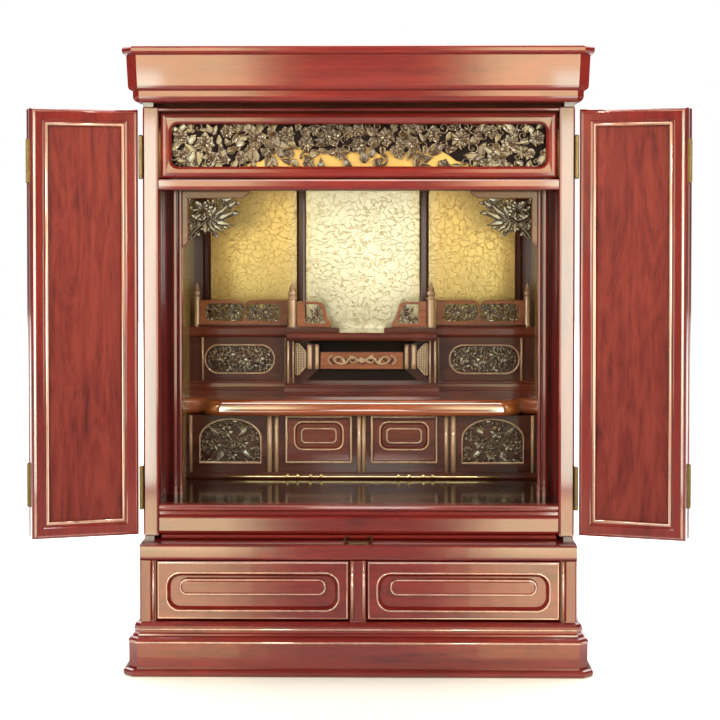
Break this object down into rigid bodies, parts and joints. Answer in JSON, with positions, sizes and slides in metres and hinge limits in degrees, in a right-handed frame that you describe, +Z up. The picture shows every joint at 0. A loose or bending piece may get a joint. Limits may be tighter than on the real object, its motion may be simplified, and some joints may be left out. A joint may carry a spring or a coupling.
{
  "type": "household altar cabinet",
  "caption": "Table-top rosewood altar cabinet with folding doors, carved tiers, gilt back, sliding drawers and a pull-out shelf.",
  "frame": {"origin": "middle of the underside of the base, below the centre of the whole part with its doors open", "axes": "+X to the viewer's right as one faces the doors, +Y from the front to the back, +Z up"},
  "size_m": [0.6516, 0.358, 0.61],
  "materials": {
    "rosewood": "satin lacquer",
    "dark_rosewood": "satin lacquer",
    "plain_board": "matte",
    "dark_lacquer": "gloss lacquer",
    "gilt": "satin gilt",
    "brass": "polished"
  },
  "bodies": {
    "cabinet": {"base_moulding": "rosewood", "case_side_left": "rosewood", "case_side_right": "rosewood", "case_top": "rosewood", "case_divider": "rosewood", "body_side_left": "rosewood", "body_side_right": "rosewood", "back_board": "plain_board", "ceiling_board": "plain_board", "cornice": "rosewood", "transom_frame": "rosewood", "frieze_strip": "rosewood", "lintel_rail": "rosewood", "sill_rail": "rosewood", "transom_carving": "dark_rosewood", "transom_backing": "gilt", "altar_floor": "dark_lacquer", "gilt_side_wall_left": "gilt", "gilt_side_wall_right": "gilt", "gilt_back_wall": "gilt", "inner_pillar_left": "rosewood", "inner_pillar_right": "rosewood", "inner_lintel": "rosewood", "back_pilaster_left": "dark_rosewood", "back_pilaster_right": "dark_rosewood", "corner_pilaster_left": "dark_rosewood", "corner_pilaster_right": "dark_rosewood", "corner_bracket_left": "dark_rosewood", "corner_bracket_right": "dark_rosewood", "lower_tier_front": "dark_rosewood", "middle_shelf": "rosewood", "upper_shelf": "dark_rosewood", "upper_tier_front": "dark_rosewood", "upper_tier_plinth": "dark_rosewood", "side_railing_left": "dark_rosewood", "side_railing_right": "dark_rosewood", "centre_wing_left": "dark_rosewood", "centre_wing_right": "dark_rosewood", "post_hinge_upper_left": "brass", "post_hinge_lower_left": "brass", "post_hinge_upper_right": "brass", "post_hinge_lower_right": "brass"},
    "left_door": {"door_frame_inner_left": "rosewood", "door_panel_inner_left": "rosewood", "fold_hinge_upper_left": "brass", "fold_hinge_lower_left": "brass"},
    "left_door_leaf": {"door_frame_outer_left": "rosewood", "door_panel_outer_left": "rosewood"},
    "left_drawer": {"drawer_left": "rosewood"},
    "left_small_drawer": {"small_drawer_left": "dark_rosewood"},
    "right_door": {"door_frame_inner_right": "rosewood", "door_panel_inner_right": "rosewood", "fold_hinge_upper_right": "brass", "fold_hinge_lower_right": "brass"},
    "right_door_leaf": {"door_frame_outer_right": "rosewood", "door_panel_outer_right": "rosewood"},
    "right_drawer": {"drawer_right": "rosewood"},
    "right_small_drawer": {"small_drawer_right": "dark_rosewood"},
    "shelf": {"pullout_shelf": "rosewood", "shelf_pull": "brass"}
  },
  "joints": [
    {"name": "left_door_hinge", "type": "hinge", "parent": "cabinet", "child": "left_door", "pos_m": [-0.2143, -0.1354, 0.341], "axis": [0, 0, 1], "range_deg": [0, 161.7]},
    {"name": "left_fold_hinge", "type": "hinge", "parent": "left_door", "child": "left_door_leaf", "pos_m": [-0.32196, -0.15447, 0.341], "axis": [0, 0, 1], "range_deg": [0, 180]},
    {"name": "left_drawer_slide", "type": "slide", "parent": "cabinet", "child": "left_drawer", "axis": [0, -1, 0], "range_m": [0, 0.2]},
    {"name": "left_small_drawer_slide", "type": "slide", "parent": "cabinet", "child": "left_small_drawer", "axis": [0, -1, 0], "range_m": [0, 0.06]},
    {"name": "right_door_hinge", "type": "hinge", "parent": "cabinet", "child": "right_door", "pos_m": [0.2143, -0.1354, 0.341], "axis": [0, 0, -1], "range_deg": [0, 161.7]},
    {"name": "right_fold_hinge", "type": "hinge", "parent": "right_door", "child": "right_door_leaf", "pos_m": [0.32196, -0.15447, 0.341], "axis": [0, 0, -1], "range_deg": [0, 180]},
    {"name": "right_drawer_slide", "type": "slide", "parent": "cabinet", "child": "right_drawer", "axis": [0, -1, 0], "range_m": [0, 0.2]},
    {"name": "right_small_drawer_slide", "type": "slide", "parent": "cabinet", "child": "right_small_drawer", "axis": [0, -1, 0], "range_m": [0, 0.06]},
    {"name": "shelf_slide", "type": "slide", "parent": "cabinet", "child": "shelf", "axis": [0, -1, 0], "range_m": [0, 0.15]}
  ]
}
